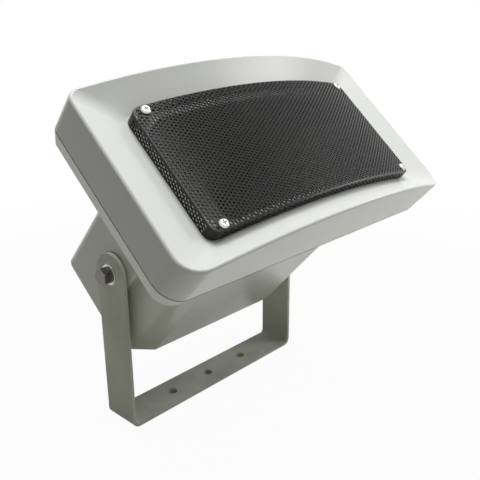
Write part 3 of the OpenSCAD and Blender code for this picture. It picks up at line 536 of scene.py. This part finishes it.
    # Sheet's edge, with rounded corners and points close enough to be bent
    rectangle = nodes.new("GeometryNodeCurvePrimitiveQuadrilateral")
    links.new(width, rectangle.inputs["Width"])
    links.new(height, rectangle.inputs["Height"])
    fillet = nodes.new("GeometryNodeFilletCurve")
    fillet.mode = "POLY"
    fillet.inputs["Count"].default_value = CORNER_STEPS
    links.new(rectangle.outputs["Curve"], fillet.inputs["Curve"])
    links.new(inside.outputs["Corner"], fillet.inputs["Radius"])
    divide = nodes.new("GeometryNodeSubdivideCurve")
    divide.inputs["Cuts"].default_value = EDGE_CUTS
    links.new(fillet.outputs["Curve"], divide.inputs["Curve"])
    outlines = nodes.new("GeometryNodeJoinGeometry")
    links.new(divide.outputs["Curve"], outlines.inputs["Geometry"])
    links.new(holes.outputs["Geometry"], outlines.inputs["Geometry"])
    fill = nodes.new("GeometryNodeFillCurve")
    fill.mode = "TRIANGLES"
    links.new(outlines.outputs["Geometry"], fill.inputs["Curve"])

    # Thickness, with the first face turned to look down
    extrude = nodes.new("GeometryNodeExtrudeMesh")
    extrude.inputs["Individual"].default_value = False
    links.new(fill.outputs["Mesh"], extrude.inputs["Mesh"])
    links.new(inside.outputs["Thickness"], extrude.inputs["Offset Scale"])
    flip = nodes.new("GeometryNodeFlipFaces")
    links.new(fill.outputs["Mesh"], flip.inputs["Mesh"])
    both = nodes.new("GeometryNodeJoinGeometry")
    links.new(extrude.outputs["Mesh"], both.inputs["Geometry"])
    links.new(flip.outputs["Mesh"], both.inputs["Geometry"])
    weld = nodes.new("GeometryNodeMergeByDistance")
    weld.inputs["Distance"].default_value = SAME_PLACE
    links.new(both.outputs["Geometry"], weld.inputs["Geometry"])
    realize = nodes.new("GeometryNodeRealizeInstances")
    links.new(weld.outputs["Geometry"], realize.inputs["Geometry"])
    paint = nodes.new("GeometryNodeSetMaterial")
    links.new(realize.outputs["Geometry"], paint.inputs["Geometry"])
    links.new(inside.outputs["Material"], paint.inputs["Material"])
    links.new(paint.outputs["Geometry"], outside.inputs["Geometry"])
    return tree


def perforated_sheet(tree, name, **sizes):
    """A flat perforated sheet of those sizes, as a plain mesh."""
    obj = bpy.data.objects.new(name, bpy.data.meshes.new(name))
    bpy.context.scene.collection.objects.link(obj)
    modifier = obj.modifiers.new("perforate", "NODES")
    modifier.node_group = tree
    for item in tree.interface.items_tree:
        key = item.name.replace(" ", "_").lower()
        if item.in_out == "INPUT" and key in sizes:
            modifier[item.identifier] = sizes[key]
    return plain_mesh(obj)


def bend_sheet(obj, across, along, sink):
    """Lays a flat sheet's points on the pan: across and along the mouth, and how far each is sunk in."""
    u, v, w = mesh_points(obj.data).astype(float).T
    x = across(u, v, w)
    y = front_depth(x, sink(u, v, w))
    z = along(u, v, w) + pan_middle
    set_points(obj.data, np.stack([x, y, z], axis=1))
    return obj


def rounded_outline(half_w, half_h, radius):
    """Points of a rounded rectangle, anticlockwise from the right of the lower edge."""
    points = []
    middles = [(side_x * (half_w - radius), side_z * (half_h - radius)) for side_x, side_z, _ in CORNERS]

    def corner_point(number, step):
        turn = math.radians(CORNERS[number][2] + 90 * step / CORNER_STEPS)
        x, z = middles[number]
        return (x + radius * math.cos(turn), z + radius * math.sin(turn))

    for number in range(4):
        points += [corner_point(number, step) for step in range(CORNER_STEPS + 1)]
        first = points[-1]
        goal = corner_point((number + 1) % 4, 0)
        for i in range(1, EDGE_POINTS):
            share = i / EDGE_POINTS
            points.append(tuple(a + (b - a) * share for a, b in zip(first, goal)))
    return np.array(points)


def tube(name, loops, material, ring=False):
    """Quads between a row of equal loops of points, whose ends meet in a ring or are capped."""
    count = len(loops[0])
    rows = len(loops)
    faces = []
    for j in range(rows if ring else rows - 1):
        here = j * count
        after = (j + 1) % rows * count
        for i in range(count):
            k = (i + 1) % count
            faces.append((here + i, after + i, after + k, here + k))
    if not ring:
        faces.append(tuple(range(count)))
        faces.append(tuple(reversed(range((rows - 1) * count, rows * count))))
    mesh = bpy.data.meshes.new(name)
    mesh.from_pydata([tuple(p) for loop in loops for p in loop], [], faces)
    mesh.materials.append(material)
    obj = bpy.data.objects.new(name, mesh)
    bpy.context.scene.collection.objects.link(obj)
    return obj


def join(objects, name):
    """One mesh of several."""
    for obj in bpy.context.selected_objects:
        obj.select_set(False)
    for obj in objects:
        obj.select_set(True)
    bpy.context.view_layer.objects.active = objects[0]
    bpy.ops.object.join()
    objects[0].name = name
    return objects[0]


sheet_tree = perforated_sheet_tree()
wall_start = pan_face + BEND
wall_depth = pan_foot - wall_start
common = {
    "hole": MESH_HOLE,
    "pitch": MESH_PITCH,
    "sides": MESH_SIDES,
    "thickness": SHEET,
    "border": MESH_BORDER,
    "material": black_coat,
}

# The face is drawn with its outer side up, so its height runs out of the pan
face = perforated_sheet(
    sheet_tree,
    "pan_face",
    width=2 * (pan_half_w - BEND),
    height=2 * (pan_half_h - BEND),
    corner=PAN_CORNER - BEND,
    screw_in_x=pan_half_w - BEND - (screws_high[0] - SCREW_HEAD),
    screw_in_y=pan_high[2] - BEND - (screws_high[2] - SCREW_HEAD),
    screw_clear=SCREW_CLEAR,
    **common,
)
bend_sheet(face, lambda u, v, w: u, lambda u, v, w: v, lambda u, v, w: pan_face + SHEET - w)

# Each wall is drawn flat as well, with its outer side up
pieces = [face]
for side in (-1, 1):
    wall = perforated_sheet(sheet_tree, "pan_long_wall", width=2 * (pan_half_w - PAN_CORNER),
                            height=wall_depth, corner=0.0, **common)
    bend_sheet(
        wall,
        lambda u, v, w: u,
        lambda u, v, w: side * (pan_half_h - SHEET + w),
        lambda u, v, w: wall_start + wall_depth / 2 + side * v,
    )
    pieces.append(wall)
    wall = perforated_sheet(sheet_tree, "pan_short_wall", width=2 * (pan_half_h - PAN_CORNER),
                            height=wall_depth, corner=0.0, **common)
    bend_sheet(
        wall,
        lambda u, v, w: side * (pan_half_w - SHEET + w),
        lambda u, v, w: u,
        lambda u, v, w: wall_start + wall_depth / 2 - side * v,
    )
    pieces.append(wall)


def pan_loop(inset, sink):
    """A loop around the pan, inside its outline by a distance."""
    outline = rounded_outline(pan_half_w - inset, pan_half_h - inset, PAN_CORNER - inset)
    depth = front_depth(outline[:, 0], sink)
    return np.stack([outline[:, 0], depth, outline[:, 1] + pan_middle], axis=1)


# The bend has the sheet's thickness: out over its outer side and back over its inner one
bend_turns = [math.radians(90 * i / BEND_STEPS) for i in range(BEND_STEPS + 1)]
bend_loops = []
for radius, turns in ((BEND, bend_turns), (BEND - SHEET, bend_turns[::-1])):
    for turn in turns:
        bend_loops.append(pan_loop(BEND - radius * math.sin(turn), wall_start - radius * math.cos(turn)))
pieces.append(tube("pan_bend", bend_loops, black_coat, ring=True))

# Plain corners of the wall
for side_x, side_z, start in CORNERS:
    sections = []
    for i in range(CORNER_STEPS + 1):
        turn = math.radians(start + 90 * i / CORNER_STEPS)
        section = []
        for radius, sink in (
            (PAN_CORNER, pan_foot),
            (PAN_CORNER, wall_start),
            (PAN_CORNER - SHEET, wall_start),
            (PAN_CORNER - SHEET, pan_foot),
        ):
            x = side_x * (pan_half_w - PAN_CORNER) + radius * math.cos(turn)
            z = side_z * (pan_half_h - PAN_CORNER) + radius * math.sin(turn)
            section.append((x, front_depth(x, sink), z + pan_middle))
        sections.append(section)
    pieces.append(tube("pan_corner", sections, black_coat))

grille = join(pieces, "perforated_grille")
grille.data.transform(head_place)
smooth_shading(grille.data, PAN_SMOOTH_ANGLE)
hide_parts("grille")
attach(grille, "head")


# Floor and light

# The floor, with its share of plain white near the object, which rises to all of it far away
FLOOR_SIZE = 40.0
FLOOR_DROP = 0.0002
FLOOR_COLOR = (0.44, 0.44, 0.37)
FLOOR_WHITE = 0.96
FLOOR_NEAR = 0.25
FLOOR_FAR = 0.9

# The strip of floor under the bracket's base, seen through its holes
BASE_REACH = 0.09
BASE_HALF_WIDTH = 0.014

# Light from all round, which the camera doesn't see
AMBIENT = 0.04
AMBIENT_COLOR = (1, 1, 0.86)


def seen_share(tree):
    """1 for a ray that shows the background: straight from the camera, reflected or let through."""
    path = tree.nodes.new("ShaderNodeLightPath")
    seen = math_node(tree.nodes, tree.links, "MAXIMUM", path.outputs["Is Camera Ray"],
                     path.outputs["Is Glossy Ray"])
    return math_node(tree.nodes, tree.links, "MAXIMUM", seen, path.outputs["Is Transmission Ray"])


def fading_share(tree):
    """The floor's share of plain white: full far away, less near the object, none under its base."""
    place = tree.nodes.new("ShaderNodeNewGeometry")
    far = tree.nodes.new("ShaderNodeVectorMath")
    far.operation = "LENGTH"
    tree.links.new(place.outputs["Position"], far.inputs[0])
    fade = tree.nodes.new("ShaderNodeMapRange")
    fade.interpolation_type = "SMOOTHSTEP"
    fade.inputs["From Min"].default_value = FLOOR_NEAR
    fade.inputs["From Max"].default_value = FLOOR_FAR
    fade.inputs["To Min"].default_value = FLOOR_WHITE
    tree.links.new(far.outputs["Value"], fade.inputs["Value"])

    # No white under the bracket's base, so that its holes look dark
    split = tree.nodes.new("ShaderNodeSeparateXYZ")
    tree.links.new(place.outputs["Position"], split.inputs["Vector"])

    def calc(operation, *values):
        return math_node(tree.nodes, tree.links, operation, *values)

    past_end = calc("GREATER_THAN", calc("ABSOLUTE", split.outputs["X"]), BASE_REACH)
    past_side = calc("GREATER_THAN", calc("ABSOLUTE", split.outputs["Y"]), BASE_HALF_WIDTH)
    return calc("MULTIPLY", fade.outputs["Result"], calc("MAXIMUM", past_end, past_side))


floor_material, floor_shader = new_material("studio_floor")
floor_shader.inputs["Base Color"].default_value = (*FLOOR_COLOR, 1)
floor_shader.inputs["Roughness"].default_value = 0.9
floor_shader.inputs["Specular IOR Level"].default_value = 0.1
floor_tree = floor_material.node_tree
white = floor_tree.nodes.new("ShaderNodeEmission")
floor_mix = floor_tree.nodes.new("ShaderNodeMixShader")
white_share = math_node(floor_tree.nodes, floor_tree.links, "MULTIPLY",
                        seen_share(floor_tree), fading_share(floor_tree))
floor_output = [n for n in floor_tree.nodes if n.type == "OUTPUT_MATERIAL"][0]
floor_tree.links.new(white_share, floor_mix.inputs["Fac"])
floor_tree.links.new(floor_shader.outputs[0], floor_mix.inputs[1])
floor_tree.links.new(white.outputs[0], floor_mix.inputs[2])
floor_tree.links.new(floor_mix.outputs[0], floor_output.inputs["Surface"])
bpy.ops.mesh.primitive_plane_add(size=FLOOR_SIZE, location=(0, 0, -FLOOR_DROP))
floor = bpy.context.object
floor.name = "studio_floor"
floor.data.materials.append(floor_material)

world = bpy.data.worlds.new("studio")
bpy.context.scene.world = world
world.use_nodes = True
world_tree = world.node_tree
world_tree.nodes.clear()
ambient = world_tree.nodes.new("ShaderNodeBackground")
ambient.inputs["Color"].default_value = (*AMBIENT_COLOR, 1)
ambient.inputs["Strength"].default_value = AMBIENT
backdrop = world_tree.nodes.new("ShaderNodeBackground")
backdrop.inputs["Color"].default_value = (1, 1, 1, 1)
backdrop.inputs["Strength"].default_value = 1.0
world_mix = world_tree.nodes.new("ShaderNodeMixShader")
world_output = world_tree.nodes.new("ShaderNodeOutputWorld")
world_tree.links.new(seen_share(world_tree), world_mix.inputs["Fac"])
world_tree.links.new(ambient.outputs[0], world_mix.inputs[1])
world_tree.links.new(backdrop.outputs[0], world_mix.inputs[2])
world_tree.links.new(world_mix.outputs[0], world_output.inputs["Surface"])


def soft_lamp(name, place, aim, size, power):
    """A square lamp at a place, aimed at another: size in metres, power in watts."""
    lamp = bpy.data.lights.new(name, "AREA")
    lamp.shape = "SQUARE"
    lamp.size = size
    lamp.energy = power
    obj = bpy.data.objects.new(name, lamp)
    bpy.context.scene.collection.objects.link(obj)
    obj.location = place
    obj.rotation_euler = (Vector(aim) - Vector(place)).to_track_quat("-Z", "Y").to_euler()


OBJECT_MIDDLE = (0, -0.05, 0.18)
soft_lamp("overhead", place=(0.0, 0.10, 1.60), aim=OBJECT_MIDDLE, size=0.8, power=16.0)
soft_lamp("front", place=(0.0, -0.80, 1.52), aim=OBJECT_MIDDLE, size=0.75, power=8.0)
soft_lamp("right", place=(0.62, -0.50, 0.42), aim=(0.10, -0.08, 0.22), size=0.35, power=1.55)

# Camera, from the lines of the bracket and mouth in the photograph
FOCAL_PIXELS = 631.85
IMAGE_PIXELS = 480
AZIMUTH = -46.86
ELEVATION = 18.73
ROLL = -0.45
DISTANCE = 0.62399
OFFSET_RIGHT = 0.03271
OFFSET_UP = 0.13272
SENSOR = 36.0
NEAREST = 0.01

azimuth = math.radians(AZIMUTH)
elevation = math.radians(ELEVATION)
back = Vector((
    math.sin(azimuth) * math.cos(elevation),
    -math.cos(azimuth) * math.cos(elevation),
    math.sin(elevation),
))
right = (-back).cross(Vector((0, 0, 1))).normalized()
up = right.cross(-back)
camera = bpy.data.objects.new("camera", bpy.data.cameras.new("camera"))
bpy.context.scene.collection.objects.link(camera)
camera.data.sensor_width = SENSOR
camera.data.lens = FOCAL_PIXELS / IMAGE_PIXELS * SENSOR
camera.data.clip_start = NEAREST
spot = back * DISTANCE + right * OFFSET_RIGHT + up * OFFSET_UP
turn = Matrix((right, up, back)).transposed().to_4x4()
roll = Matrix.Rotation(math.radians(ROLL), 4, back)
camera.matrix_world = Matrix.Translation(spot) @ roll @ turn
bpy.context.scene.camera = camera

bpy.context.scene.view_settings.view_transform = "Standard"
